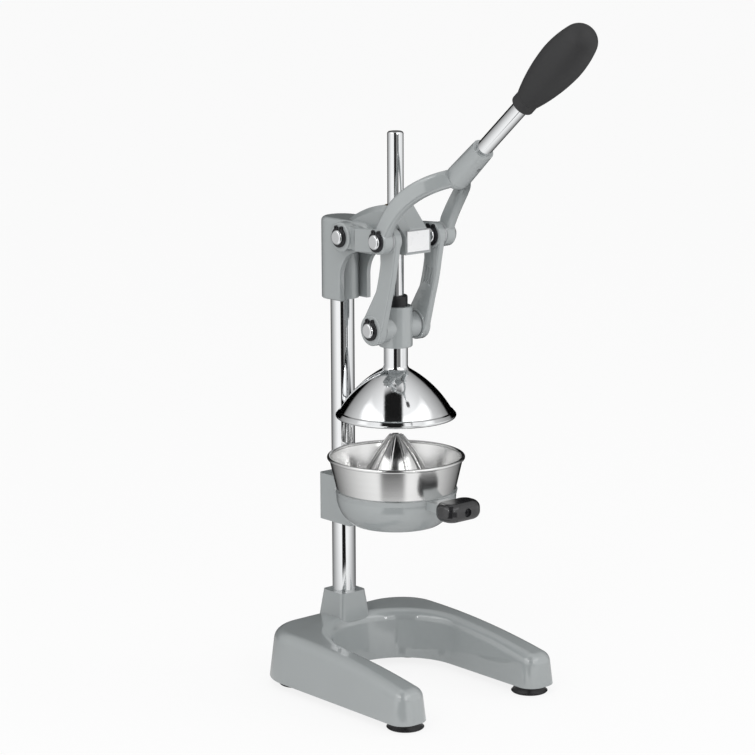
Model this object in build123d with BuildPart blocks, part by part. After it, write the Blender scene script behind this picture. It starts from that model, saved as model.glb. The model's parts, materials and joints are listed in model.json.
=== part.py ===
from build123d import *
import os
from math import atan2, cos, degrees, hypot, radians, sin, sqrt

os.makedirs("parts", exist_ok=True)

# Manual lever citrus press, in millimetres with +Z up. The front is -Y, and the origin lies on the
# press axis at table level. Sizes named "_z" or "_y" are levels or places in that frame.

# Clearances
pin_fit = 0.05
seat_fit = 0.05
slide_fit = 0.08
side_gap = 0.3
swing_gap = 0.6
screw_gap = 0.2

# Feet
foot_r = 16.0
foot_top_r = 13.6
foot_h = 7.0
foot_lip = 0.8
foot_stem_r = 4.0
foot_stem_h = 9.0
foot_boss_r = 9.0
front_foot_side = 19.5
front_foot_run = 17.5
rear_foot_side = 26.0
rear_foot_run = 36.0

# Base casting
base_half_w = 92.0
base_tail = 23.0
base_rear_r = 46.0
leg_tip_y = -111.0
leg_tip_r = 14.0
leg_w = 35.0
cove_y = -8.0
deck_z = 50.0
deck_crest_y = 45.0
leg_tip_z = 34.0
base_wall = 5.0
base_draft = 7.0
base_edge_r = 10.0

# Column and its socket
column_r = 10.5
column_wall = 3.0
column_rim_gap = 0.5
column_seat_z = 24.0
column_end_drop = 11.0
socket_top_half = 14.0
socket_root_half = 17.2
socket_corner_r = 4.0
socket_top_z = 71.0
socket_root_z = 45.0
socket_floor = 8.0
socket_boss_r = 16.5
plug_len = 26.0
bolt_r = 5.0
bolt_grip = 16.0
bolt_head_r = 8.6
bolt_head_h = 5.5
bolt_washer_r = 11.0
bolt_washer_t = 2.0

# Head casting
head_half_w = 18.0
head_wall = 5.0
head_bottom_z = 337.0
head_h = 72.0
head_top_r = 4.0
head_edge_r = 1.5
arch_r = 25.0
cheek_front_y = 10.0
cheek_nose_r = 17.0
sleeve_wall = 4.0
roof_t = 5.0
guide_half_w = 14.0
guide_front_y = -29.0
guide_rear_y = 13.0
guide_drop = 22.5
guide_rise = 16.5
cheek_drop = 26.0
brow_drop = 0.5
crown_front_y = -13.0
crown_rear_y = 6.0
hump_rear_y = 58.0
hump_edge = 5.0
plate_w = 26.4
plate_h = 19.2
plate_t = 1.2
plate_recess = 0.8
set_screw_r = 4.0

# Press rod, guide bushes and carriage
rod_r = 7.0
rod_proud = 62.8
rod_end_r = 2.2
rod_tail = 3.0
bush_wall = 2.0
bush_len = 12.0
carriage_r = 14.5
carriage_rise = 18.5
carriage_drop = 17.0
carriage_edge_r = 1.2
trunnion_r = 11.5
trunnion_half = 19.6
bumper_r = 10.3
bumper_h = 9.4

# Pivots, seen from the side
pivot_y = 40.0
pivot_drop = 13.0
link_pin_y = -22.0
link_pin_rise = 3.7
cross_pin_drop = 79.7
pin_r = 6.5
pin_end_r = 1.8
pin_proud = 3.2
pin_bob = 1.5
ring_t = 1.3
ring_r = 8.8
ring_lug_r = 1.9
ring_lug_hole_r = 0.8
ring_lug_turn = 24.0
ring_groove = 0.4
washer_r = 10.0
washer_t = 1.0

# Working swing of the lever in degrees, and the share of it that the links tilt
swing_up = 35.0
swing_down = 39.0
link_share = 0.05

# Links
link_t = 8.0
link_web_inset = 0.8
link_half_w = 8.5
link_bow = 5.0
link_low_eye_r = 13.5
link_top_eye_r = 11.0
link_edge_r = 1.6
link_groove_half_w = 0.9
link_groove_step = 3.4
link_groove_depth = 0.9
link_low_neck = 0.4
link_top_neck = 0.75

# Lever fork, handle rod and grip
lever_boss_t = 10.5
pivot_eye_r = 13.0
pivot_eye_t = 10.5
link_eye_r = 10.8
bar_half_h = 9.5
bar_t = 7.0
bar_clear_run = 32.0
arm_half_h = 7.2
arm_t = 9.5
arm_edge_r = 3.4
arm_mid_x = 30.6
arm_mid_reach = 26.5
arm_mid_rise = 38.2
arm_root_x = 3.8
arm_reach = 57.0
arm_rise = 56.5
handle_rise = 40.6
handle_socket_r = 9.6
handle_socket_root_r = 10.8
handle_socket_len = 39.0
handle_rod_r = 6.75
handle_bore_len = 30.0
roll_pin_r = 2.0
roll_pin_bite = 1.2
grip_start = 99.5
grip_len = 96.5
grip_collar_r = 10.0
grip_collar_len = 9.0
grip_neck_r = 10.8
grip_swell_r = 14.9
grip_swell_at = 27.0
grip_belly_r = 18.2
grip_belly_at = 56.0
grip_fall_r = 17.2
grip_fall_at = 72.0
grip_end_r = 14.6
grip_end_at = 85.0
grip_bore_len = 46.0

# Bowl holder and front grip
holder_half_w = 14.5
holder_h = 42.0
holder_lip = 1.0
holder_corner_r = 4.0
holder_rear = 17.5
cup_top_z = 177.0
cup_h = 29.5
cup_top_r = 53.5
cup_bottom_r = 39.0
cup_wall = 4.5
cup_floor = 6.0
cup_outlet_r = 17.5
grip_lug_w = 22.0
grip_lug_t = 8.0
grip_lug_y = -77.0
paddle_w = 40.0
paddle_t = 16.5
paddle_front_y = -92.0
paddle_rear_y = -67.0
paddle_drop = 4.5
paddle_edge_r = 6.8
paddle_corner_r = 11.0
paddle_screw_r = 2.5
paddle_screw_head_r = 3.6
paddle_screw_sink = 4.0
paddle_screw_depth = 8.0

# Bowl and strainer
bowl_h = 30.0
bowl_rim_r = 60.0
bowl_bead_r = 1.6
bowl_wall = 1.2
bowl_foot_r = 52.0
bowl_step = 7.0
bowl_well = 6.0
bowl_fall = 11.0
bowl_spout_r = 14.0
bowl_spout_len = 17.0
strainer_r = 40.0
strainer_rise = 12.0
strainer_wall = 1.6
strainer_slot_w = 2.4
strainer_slots = 24
reamer_root_r = 27.0
reamer_h = 37.0
reamer_mid_r = 16.7
reamer_mid_h = 19.2
reamer_nose_r = 4.0
reamer_ribs = 10
reamer_rib_h = 2.2
reamer_rib_half_w = 1.3
reamer_rib_edge_r = 0.8

# Press dome and neck
dome_h = 42.0
dome_rim_r = 52.3
dome_rim_h = 5.0
dome_wall = 1.6
dome_cap_t = 2.5
dome_shoulder_r = 48.7
dome_shoulder_h = 5.8
dome_waist_r = 34.0
dome_waist_h = 25.3
dome_top_r = 12.5
neck_len = 20.0
neck_r = 10.4
neck_flare_r = 12.6
neck_flare_h = 4.0
nut_r = 10.0
nut_h = 7.0
nut_washer_t = 2.0

# Places that follow from these sizes: the column behind the bowl's rim, the base round the column,
# the head's levels from its underside, and the linkage and the dome below the head
column_y = bowl_rim_r + column_rim_gap + column_r
base_rear_y = column_y + base_tail
leg_gap_half = base_half_w - leg_w
head_shoulder_z = head_bottom_z + head_h
column_top_z = head_shoulder_z - column_end_drop
guide_under_z = head_shoulder_z - guide_drop
guide_top_z = head_shoulder_z + guide_rise
cheek_under_z = head_shoulder_z - cheek_drop
brow_z = head_shoulder_z - brow_drop
rod_top_z = guide_top_z + rod_proud
pivot_z = head_shoulder_z - pivot_drop
link_pin_z = pivot_z + link_pin_rise
cross_pin_z = link_pin_z - cross_pin_drop
carriage_top_z = cross_pin_z + carriage_rise
carriage_bottom_z = cross_pin_z - carriage_drop
dome_top_z = carriage_bottom_z - neck_len
dome_rim_z = dome_top_z - dome_h
dome_waist_z = dome_rim_z + dome_waist_h
arm_mid_y = link_pin_y - arm_mid_reach
arm_mid_z = link_pin_z + arm_mid_rise
socket_low_y = link_pin_y - arm_reach
socket_low_z = link_pin_z + arm_rise

# The bowl, its holder and its strainer, from the top of the holder's cup
cup_bottom_z = cup_top_z - cup_h
holder_top_z = cup_top_z + holder_lip
holder_bottom_z = holder_top_z - holder_h
paddle_z = cup_top_z - paddle_drop
bowl_rim_z = cup_top_z + bowl_h
bowl_floor_z = cup_top_z - bowl_well
bowl_sump_z = bowl_floor_z - bowl_fall
bowl_spout_z = bowl_sump_z - bowl_spout_len
strainer_z = cup_top_z + strainer_rise
reamer_mid_z = strainer_z + reamer_mid_h
reamer_tip_z = strainer_z + reamer_h


def save(name, part):
    """Label one finished piece and write it under its own name."""
    part.label = name
    export_step(part, f"parts/{name}.step")


def deck_height(y):
    """Level of the base's arched top at a place along the legs."""
    drop = deck_z - leg_tip_z
    reach = deck_crest_y - leg_tip_y
    radius = (reach**2 + drop**2) / (2 * drop)
    return deck_z - radius + sqrt(radius**2 - (y - deck_crest_y) ** 2)


def base_body(inset, edge_r):
    """The base as a drafted U with an arched top, inset all round for the casting's hollow."""
    half_w = base_half_w - inset
    gap = leg_gap_half + inset
    rear = base_rear_y - inset
    tip = leg_tip_y + inset
    blank_h = deck_z - foot_h + base_wall
    ceiling = foot_h + 2 * blank_h
    with BuildPart() as body:
        with BuildSketch(Plane.XY.offset(foot_h)):
            with Locations((0, (rear + tip) / 2)):
                Rectangle(2 * half_w, rear - tip)
            with Locations((0, cove_y)):
                Circle(gap, mode=Mode.SUBTRACT)
            with Locations((0, (cove_y + tip) / 2)):
                Rectangle(2 * gap, cove_y - tip, mode=Mode.SUBTRACT)
            fillet(vertices().group_by(Axis.Y)[0], leg_tip_r - inset)
            corners = vertices().group_by(Axis.Y)[-1].sort_by(Axis.X)
            fillet([corners[0], corners[-1]], base_rear_r - inset)
        extrude(amount=blank_h, taper=base_draft)
        with BuildSketch(Plane.YZ):
            with BuildLine():
                deck_rear = (base_rear_y, deck_height(base_rear_y) - inset)
                deck_tip = (leg_tip_y, leg_tip_z - inset)
                ThreePointArc(deck_rear, (deck_crest_y, deck_z - inset), deck_tip)
                Polyline(deck_tip, (leg_tip_y, ceiling), (base_rear_y, ceiling), deck_rear)
            make_face()
        extrude(amount=2 * base_half_w, both=True, mode=Mode.SUBTRACT)
        if edge_r > 0:
            top = body.faces().filter_by(GeomType.CYLINDER).sort_by(Axis.Z)[-1]
            fillet(top.edges(), edge_r)
    return body.part


front_foot_x = base_half_w - front_foot_side
front_foot_y = leg_tip_y + front_foot_run
rear_foot_x = base_half_w - rear_foot_side
rear_foot_y = base_rear_y - rear_foot_run
foot_places = {
    "front_left_foot": (-front_foot_x, front_foot_y),
    "front_right_foot": (front_foot_x, front_foot_y),
    "rear_left_foot": (-rear_foot_x, rear_foot_y),
    "rear_right_foot": (rear_foot_x, rear_foot_y),
}
column_boss_z = column_seat_z - socket_floor

with BuildPart() as base_casting:
    add(base_body(0, base_edge_r))
    add(base_body(base_wall, 0), mode=Mode.SUBTRACT)
    for place_x, place_y in foot_places.values():
        boss_top = deck_height(place_y) - base_wall / 2
        with Locations((place_x, place_y, foot_h)):
            Cylinder(foot_boss_r, boss_top - foot_h, align=(Align.CENTER, Align.CENTER, Align.MIN))
            stem_hole = foot_stem_h + side_gap
            Cylinder(foot_stem_r + seat_fit, stem_hole, align=(Align.CENTER, Align.CENTER, Align.MIN),
                     mode=Mode.SUBTRACT)
    with BuildSketch(Plane.XY.offset(socket_root_z)):
        with Locations((0, column_y)):
            RectangleRounded(2 * socket_root_half, 2 * socket_root_half, socket_corner_r)
    with BuildSketch(Plane.XY.offset(socket_top_z)):
        with Locations((0, column_y)):
            RectangleRounded(2 * socket_top_half, 2 * socket_top_half, socket_corner_r)
    loft()
    with Locations((0, column_y, column_boss_z)):
        Cylinder(socket_boss_r, socket_root_z - column_boss_z,
                 align=(Align.CENTER, Align.CENTER, Align.MIN))
        Cylinder(bolt_r + screw_gap, socket_floor, align=(Align.CENTER, Align.CENTER, Align.MIN),
                 mode=Mode.SUBTRACT)
    with Locations((0, column_y, column_seat_z)):
        Cylinder(column_r + seat_fit, socket_top_z - column_seat_z,
                 align=(Align.CENTER, Align.CENTER, Align.MIN), mode=Mode.SUBTRACT)
save("base_casting", base_casting.part)

for foot_name, (place_x, place_y) in foot_places.items():
    with BuildPart() as foot:
        with BuildSketch(Plane.XZ):
            with BuildLine():
                waist = ((foot_r + foot_top_r) / 2 - foot_lip, foot_h / 2)
                Polyline((0, 0), (foot_r - foot_lip, 0), (foot_r, foot_lip))
                ThreePointArc((foot_r, foot_lip), waist, (foot_top_r, foot_h))
                stem_top = foot_h + foot_stem_h
                Polyline((foot_top_r, foot_h), (foot_stem_r, foot_h), (foot_stem_r, stem_top),
                         (0, stem_top), (0, 0))
            make_face()
        revolve(axis=Axis.Z)
    save(foot_name, Pos(place_x, place_y, 0) * foot.part)


# Column, with a tapped plug in its lower end and a bolt from under the base
with BuildPart() as column_tube:
    with Locations((0, column_y, column_seat_z)):
        column_len = column_top_z - column_seat_z
        Cylinder(column_r, column_len, align=(Align.CENTER, Align.CENTER, Align.MIN))
        Cylinder(column_r - column_wall, column_len, align=(Align.CENTER, Align.CENTER, Align.MIN),
                 mode=Mode.SUBTRACT)
save("column_tube", column_tube.part)

with BuildPart() as column_plug:
    with Locations((0, column_y, column_seat_z)):
        Cylinder(column_r - column_wall - seat_fit, plug_len,
                 align=(Align.CENTER, Align.CENTER, Align.MIN))
        Cylinder(bolt_r + seat_fit, plug_len, align=(Align.CENTER, Align.CENTER, Align.MIN),
                 mode=Mode.SUBTRACT)
save("column_plug", column_plug.part)

with BuildPart() as column_washer:
    with Locations((0, column_y, column_boss_z - bolt_washer_t)):
        Cylinder(bolt_washer_r, bolt_washer_t, align=(Align.CENTER, Align.CENTER, Align.MIN))
        Cylinder(bolt_r + screw_gap, bolt_washer_t, align=(Align.CENTER, Align.CENTER, Align.MIN),
                 mode=Mode.SUBTRACT)
save("column_washer", column_washer.part)

with BuildPart() as column_bolt:
    with BuildSketch(Plane.XY.offset(column_boss_z - bolt_washer_t)):
        with Locations((0, column_y)):
            RegularPolygon(bolt_head_r, 6)
    extrude(amount=-bolt_head_h)
    with Locations((0, column_y, column_boss_z - bolt_washer_t)):
        Cylinder(bolt_r, bolt_washer_t + socket_floor + bolt_grip,
                 align=(Align.CENTER, Align.CENTER, Align.MIN))
save("column_bolt", column_bolt.part)

# Head casting: a round-backed block on the column, two arched cheeks, and the rod guide at the front
arch_foot_y = column_y - head_half_w
arch_spring_z = cheek_under_z - arch_r
head_back_y = column_y + head_half_w
sleeve_r = column_r + sleeve_wall
channel_half = head_half_w - head_wall
channel_roof_z = head_shoulder_z - roof_t
bush_r = rod_r + slide_fit + bush_wall

# The pivot pin rides on the lever and creeps forward as the lever swings either way
crank = hypot(pivot_y - link_pin_y, link_pin_z - pivot_z)
crank_rise = degrees(atan2(link_pin_z - pivot_z, pivot_y - link_pin_y))
widest_swing = max(swing_up + crank_rise, swing_down - crank_rise)
link_reach = hypot(link_pin_y, link_pin_z - cross_pin_z)
pin_creep = crank * (1 - cos(radians(widest_swing))) + link_reach * sin(radians(link_share * swing_up))
slot_half_h = pin_r + pin_bob + side_gap

with BuildPart() as guide_block:
    with BuildSketch(Plane.YZ):
        with BuildLine():
            crown_rear = (crown_rear_y, guide_top_z)
            hump_mid = ((crown_rear_y + hump_rear_y) / 2, guide_top_z - (guide_top_z - channel_roof_z) / 3)
            hump_rear = (hump_rear_y, channel_roof_z)
            Polyline(hump_rear, (guide_rear_y, channel_roof_z), (guide_rear_y, guide_under_z),
                     (guide_front_y, guide_under_z), (guide_front_y, brow_z),
                     (crown_front_y, guide_top_z), crown_rear)
            ThreePointArc(crown_rear, hump_mid, hump_rear)
        make_face()
    extrude(amount=guide_half_w, both=True)
    sloped = guide_block.edges().filter_by(lambda edge: edge.length > plate_t)
    crest = [edge for edge in sloped if edge.center().Z > brow_z and abs(edge.center().X) > guide_half_w / 2]
    chamfer(crest, hump_edge)

with BuildPart() as head_casting:
    with BuildSketch(Plane.YZ):
        with BuildLine():
            nose_top = (cheek_front_y + cheek_nose_r, head_shoulder_z)
            nose_low = (cheek_front_y, head_shoulder_z - cheek_nose_r)
            nose_turn = cheek_nose_r * (1 - sin(radians(45)))
            ThreePointArc(nose_top, (cheek_front_y + nose_turn, head_shoulder_z - nose_turn), nose_low)
            arch_top = (arch_foot_y - arch_r, cheek_under_z)
            Polyline(nose_low, (cheek_front_y, cheek_under_z), arch_top)
            arch_turn = arch_r * sin(radians(45))
            ThreePointArc(arch_top, (arch_top[0] + arch_turn, arch_spring_z + arch_turn),
                          (arch_foot_y, arch_spring_z))
            Polyline((arch_foot_y, arch_spring_z), (arch_foot_y, head_bottom_z),
                     (head_back_y, head_bottom_z), (head_back_y, head_shoulder_z), nose_top)
        make_face()
    extrude(amount=head_half_w, both=True)
    with BuildSketch(Plane.XY.offset(head_bottom_z)):
        with Locations((0, column_y)):
            Circle(head_half_w)
        with Locations((0, (cheek_front_y + column_y) / 2)):
            Rectangle(2 * head_half_w, column_y - cheek_front_y)
    extrude(amount=head_h, mode=Mode.INTERSECT)
    shoulder = head_casting.faces().filter_by(Axis.Z).sort_by(Axis.Z)[-1]
    fillet(shoulder.edges().filter_by(lambda edge: edge.center().Y > nose_top[0]), head_top_r)
    arch_rims = head_casting.edges().filter_by(lambda edge: abs(edge.center().X) > head_half_w - head_edge_r)
    fillet(arch_rims.filter_by(lambda edge: edge.center().Z < cheek_under_z), head_edge_r)
    add(guide_block.part)
    with BuildSketch(Plane.XY.offset(head_bottom_z)):
        with Locations((0, (guide_rear_y + column_y) / 2)):
            Rectangle(2 * channel_half, column_y - guide_rear_y)
        with Locations((0, column_y)):
            Circle(sleeve_r, mode=Mode.SUBTRACT)
    extrude(amount=channel_roof_z - head_bottom_z, mode=Mode.SUBTRACT)
    with Locations((0, column_y, head_bottom_z)):
        Cylinder(column_r + seat_fit, column_top_z + side_gap - head_bottom_z,
                 align=(Align.CENTER, Align.CENTER, Align.MIN), mode=Mode.SUBTRACT)
    with Locations((0, 0, guide_under_z)):
        Cylinder(rod_r + swing_gap, guide_top_z - guide_under_z,
                 align=(Align.CENTER, Align.CENTER, Align.MIN), mode=Mode.SUBTRACT)
        Cylinder(bush_r + seat_fit, bush_len, align=(Align.CENTER, Align.CENTER, Align.MIN),
                 mode=Mode.SUBTRACT)
    with Locations((0, 0, guide_top_z)):
        Cylinder(bush_r + seat_fit, bush_len, align=(Align.CENTER, Align.CENTER, Align.MAX),
                 mode=Mode.SUBTRACT)
    with BuildSketch(Plane.YZ):
        with Locations((pivot_y - pin_creep / 2, pivot_z)):
            SlotCenterToCenter(pin_creep, 2 * slot_half_h)
    extrude(amount=head_half_w, both=True, mode=Mode.SUBTRACT)
    plate_z = (guide_under_z + brow_z) / 2
    with BuildSketch(Plane.XZ.offset(-guide_front_y)):
        with Locations((0, plate_z)):
            Rectangle(plate_w + 2 * seat_fit, plate_h + 2 * seat_fit)
    extrude(amount=-plate_recess, mode=Mode.SUBTRACT)
    set_screw_z = (head_bottom_z + channel_roof_z) / 2
    with BuildSketch(Plane.XZ.offset(-head_back_y)):
        with Locations((0, set_screw_z)):
            Circle(set_screw_r + seat_fit)
    extrude(amount=head_half_w - column_r, mode=Mode.SUBTRACT)
save("head_casting", head_casting.part)

with BuildPart() as name_plate:
    with BuildSketch(Plane.XZ.offset(-guide_front_y - plate_recess)):
        with Locations((0, plate_z)):
            RectangleRounded(plate_w, plate_h, plate_t / 2)
    extrude(amount=plate_t)
save("name_plate", name_plate.part)


def set_screw(level, length):
    """Headless screw with a hexagon socket, screwed in from the back onto the column."""
    with BuildPart() as screw:
        with BuildSketch(Plane.XZ.offset(-column_y - column_r)):
            with Locations((0, level)):
                Circle(set_screw_r)
        extrude(amount=-length)
        with BuildSketch(Plane.XZ.offset(-column_y - column_r - length)):
            with Locations((0, level)):
                RegularPolygon(set_screw_r / 2, 6)
        extrude(amount=length / 2, mode=Mode.SUBTRACT)
    return screw.part


save("head_set_screw", set_screw(set_screw_z, head_half_w - column_r - side_gap))


# Press rod, its two guide bushes in the head, and the carriage that the links push
bush_levels = {"lower_guide_bush": guide_under_z, "upper_guide_bush": guide_top_z - bush_len}
for bush_name, bush_z in bush_levels.items():
    with BuildPart() as bush:
        with Locations((0, 0, bush_z)):
            Cylinder(bush_r, bush_len, align=(Align.CENTER, Align.CENTER, Align.MIN))
            Cylinder(rod_r + slide_fit, bush_len, align=(Align.CENTER, Align.CENTER, Align.MIN),
                     mode=Mode.SUBTRACT)
    save(bush_name, bush.part)

cap_under_z = dome_top_z - dome_cap_t
nut_top_z = cap_under_z - nut_washer_t
rod_end_z = nut_top_z - nut_h - rod_tail

with BuildPart() as press_rod:
    with Locations((0, 0, rod_end_z)):
        Cylinder(rod_r, rod_top_z - rod_end_z, align=(Align.CENTER, Align.CENTER, Align.MIN))
    fillet(press_rod.edges().group_by(Axis.Z)[-1], rod_end_r)
save("press_rod", press_rod.part)

# Places along X, from the middle outwards, of what is stacked on the link and cross pins
link_in_x = trunnion_half + washer_t + side_gap
link_out_x = link_in_x + link_t
lever_in_x = link_out_x + washer_t + side_gap
lever_out_x = lever_in_x + lever_boss_t
pivot_in_x = head_half_w + swing_gap
pivot_out_x = pivot_in_x + pivot_eye_t
cross_pin_root_x = rod_r + head_wall / 2

with BuildPart() as carriage:
    with Locations((0, 0, carriage_bottom_z)):
        Cylinder(carriage_r, carriage_top_z - carriage_bottom_z,
                 align=(Align.CENTER, Align.CENTER, Align.MIN))
    fillet(carriage.edges().filter_by(GeomType.CIRCLE), carriage_edge_r)
    with BuildSketch(Plane.YZ):
        with Locations((0, cross_pin_z)):
            Circle(trunnion_r)
    extrude(amount=trunnion_half, both=True)
    with Locations((0, 0, carriage_bottom_z)):
        Cylinder(rod_r + seat_fit, carriage_top_z - carriage_bottom_z,
                 align=(Align.CENTER, Align.CENTER, Align.MIN), mode=Mode.SUBTRACT)
    for side in (-1, 1):
        with BuildSketch(Plane.YZ.offset(side * cross_pin_root_x)):
            with Locations((0, cross_pin_z)):
                Circle(pin_r + seat_fit)
        extrude(amount=side * trunnion_half, mode=Mode.SUBTRACT)
save("carriage", carriage.part)

with BuildPart() as bumper:
    with Locations((0, 0, carriage_top_z)):
        Cylinder(bumper_r, bumper_h, align=(Align.CENTER, Align.CENTER, Align.MIN))
    fillet(bumper.edges().group_by(Axis.Z)[-1], pin_end_r)
    with Locations((0, 0, carriage_top_z)):
        Cylinder(rod_r + seat_fit, bumper_h, align=(Align.CENTER, Align.CENTER, Align.MIN),
                 mode=Mode.SUBTRACT)
save("bumper", bumper.part)

with BuildPart() as neck_sleeve:
    with BuildSketch(Plane.XZ):
        with BuildLine():
            bore_x = rod_r + seat_fit
            flare_top = dome_top_z + neck_flare_h
            Polyline((neck_r, flare_top), (neck_r, carriage_bottom_z), (bore_x, carriage_bottom_z),
                     (bore_x, dome_top_z), (neck_flare_r, dome_top_z))
            flare_mid = ((neck_r * 2 + neck_flare_r) / 3, dome_top_z + neck_flare_h / 3)
            ThreePointArc((neck_flare_r, dome_top_z), flare_mid, (neck_r, flare_top))
        make_face()
    revolve(axis=Axis.Z)
save("neck_sleeve", neck_sleeve.part)

with BuildPart() as press_dome:
    with BuildSketch(Plane.XZ):
        with BuildLine():
            shoulder_z = dome_rim_z + dome_shoulder_h
            waist_step = dome_wall / sqrt(2)
            inner_waist = (dome_waist_r - waist_step, dome_waist_z - waist_step)
            inner_shoulder = (dome_shoulder_r - dome_wall, shoulder_z - dome_wall / 2)
            hole_x = rod_r + seat_fit
            Polyline((hole_x, cap_under_z), (hole_x, dome_top_z), (dome_top_r, dome_top_z))
            ThreePointArc((dome_top_r, dome_top_z), (dome_waist_r, dome_waist_z),
                          (dome_shoulder_r, shoulder_z))
            bead_top = (dome_rim_r, dome_rim_z + dome_rim_h / 2)
            Polyline((dome_shoulder_r, shoulder_z), (dome_shoulder_r + dome_wall, dome_rim_z + dome_rim_h),
                     bead_top)
            ThreePointArc(bead_top, (dome_rim_r - dome_wall / 3, dome_rim_z + dome_wall / 3),
                          (dome_rim_r - dome_wall, dome_rim_z))
            Polyline((dome_rim_r - dome_wall, dome_rim_z),
                     (dome_rim_r - 2 * dome_wall, dome_rim_z + dome_wall), inner_shoulder)
            ThreePointArc(inner_shoulder, inner_waist, (dome_top_r, cap_under_z))
            Line((dome_top_r, cap_under_z), (hole_x, cap_under_z))
        make_face()
    revolve(axis=Axis.Z)
save("press_dome", press_dome.part)

with BuildPart() as dome_washer:
    with Locations((0, 0, nut_top_z)):
        Cylinder(dome_top_r - side_gap, nut_washer_t, align=(Align.CENTER, Align.CENTER, Align.MIN))
        Cylinder(rod_r + seat_fit, nut_washer_t, align=(Align.CENTER, Align.CENTER, Align.MIN),
                 mode=Mode.SUBTRACT)
save("dome_washer", dome_washer.part)

with BuildPart() as dome_nut:
    with BuildSketch(Plane.XY.offset(nut_top_z)):
        RegularPolygon(nut_r, 6)
        Circle(rod_r + seat_fit, mode=Mode.SUBTRACT)
    extrude(amount=-nut_h)
save("dome_nut", dome_nut.part)


def pin(place_y, place_z, from_x, to_x, grooves):
    """Plain pin along X with rounded ends and a groove for each retaining ring."""
    with BuildPart() as body:
        with BuildSketch(Plane.YZ.offset(from_x)):
            with Locations((place_y, place_z)):
                Circle(pin_r)
        extrude(amount=to_x - from_x)
        fillet(body.edges().filter_by(GeomType.CIRCLE), pin_end_r)
        for groove_x in grooves:
            with BuildSketch(Plane.YZ.offset(groove_x)):
                with Locations((place_y, place_z)):
                    Circle(pin_r + side_gap)
                    Circle(pin_r - ring_groove, mode=Mode.SUBTRACT)
            extrude(amount=ring_t + 2 * seat_fit, mode=Mode.SUBTRACT)
    return body.part


def ring(place_y, place_z, groove_x):
    """Open retaining ring with two drilled lugs at the top, seated in a pin's groove."""
    with BuildPart() as body:
        with BuildSketch(Plane.YZ.offset(groove_x + seat_fit)):
            with Locations((place_y, place_z)):
                Circle(ring_r)
                with PolarLocations(ring_r, 2, start_angle=90 - ring_lug_turn,
                                    angular_range=2 * ring_lug_turn, endpoint=True):
                    Circle(ring_lug_r)
                    Circle(ring_lug_hole_r, mode=Mode.SUBTRACT)
                Circle(pin_r - ring_groove + seat_fit, mode=Mode.SUBTRACT)
                with Locations((0, ring_r)):
                    Rectangle(ring_lug_r, 2 * (ring_r - ring_groove), mode=Mode.SUBTRACT)
        extrude(amount=ring_t)
    return body.part


def washer(place_y, place_z, from_x):
    """Flat washer on a pin."""
    with BuildPart() as body:
        with BuildSketch(Plane.YZ.offset(from_x)):
            with Locations((place_y, place_z)):
                Circle(washer_r)
                Circle(pin_r + pin_fit, mode=Mode.SUBTRACT)
        extrude(amount=washer_t)
    return body.part


def both_sides(part):
    """A piece of the right side together with its mirror image."""
    return Compound([part, mirror(part, about=Plane.YZ)])


ring_span = ring_t + 2 * seat_fit
cross_groove_x = link_out_x + seat_fit
link_groove_x = lever_out_x + seat_fit
inner_groove_x = link_in_x - ring_span - seat_fit
pivot_groove_x = pivot_out_x + seat_fit
cross_pin_end_x = cross_groove_x + ring_span + pin_proud
link_pin_end_x = link_groove_x + ring_span + pin_proud
pivot_pin_end_x = pivot_groove_x + ring_span + pin_proud

right_cross_pin = pin(0, cross_pin_z, cross_pin_root_x, cross_pin_end_x, [cross_groove_x])
save("right_cross_pin", right_cross_pin)
save("left_cross_pin", mirror(right_cross_pin, about=Plane.YZ))
save("cross_pin_rings", both_sides(ring(0, cross_pin_z, cross_groove_x)))
save("trunnion_washers", both_sides(washer(0, cross_pin_z, trunnion_half + side_gap / 2)))

right_link_pin = pin(link_pin_y, link_pin_z, inner_groove_x - pin_proud, link_pin_end_x,
                     [inner_groove_x, link_groove_x])
save("right_link_pin", right_link_pin)
save("left_link_pin", mirror(right_link_pin, about=Plane.YZ))
save("outer_link_pin_rings", both_sides(ring(link_pin_y, link_pin_z, link_groove_x)))
save("inner_link_pin_rings", both_sides(ring(link_pin_y, link_pin_z, inner_groove_x)))
save("link_washers", both_sides(washer(link_pin_y, link_pin_z, link_out_x + side_gap / 2)))

pivot_pin = pin(pivot_y, pivot_z, -pivot_pin_end_x, pivot_pin_end_x,
                [pivot_groove_x, -pivot_groove_x - ring_span])
save("pivot_pin", pivot_pin)
save("pivot_pin_rings", both_sides(ring(pivot_y, pivot_z, pivot_groove_x)))


def arc_band(start, middle, end, half_w):
    """Both edges, each as three points, of a band of even width along an arc through three points."""
    (ax, ay), (bx, by), (cx, cy) = start, middle, end
    twist = 2 * (ax * (by - cy) + bx * (cy - ay) + cx * (ay - by))
    sa, sb, sc = ax**2 + ay**2, bx**2 + by**2, cx**2 + cy**2
    mid_x = (sa * (by - cy) + sb * (cy - ay) + sc * (ay - by)) / twist
    mid_y = (sa * (cx - bx) + sb * (ax - cx) + sc * (bx - ax)) / twist
    radius = hypot(ax - mid_x, ay - mid_y)
    edges = []
    for grow in (half_w, -half_w):
        share = grow / radius
        edges.append([(px + (px - mid_x) * share, py + (py - mid_y) * share)
                      for px, py in (start, middle, end)])
    return edges


def eye_boss(place, radius, from_x, thickness):
    """Round boss along X with softened rims, before its bore."""
    with BuildPart() as boss:
        with BuildSketch(Plane.YZ.offset(from_x)):
            with Locations(place):
                Circle(radius)
        extrude(amount=thickness)
        fillet(boss.edges().filter_by(GeomType.CIRCLE), link_edge_r)
    return boss.part


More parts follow.
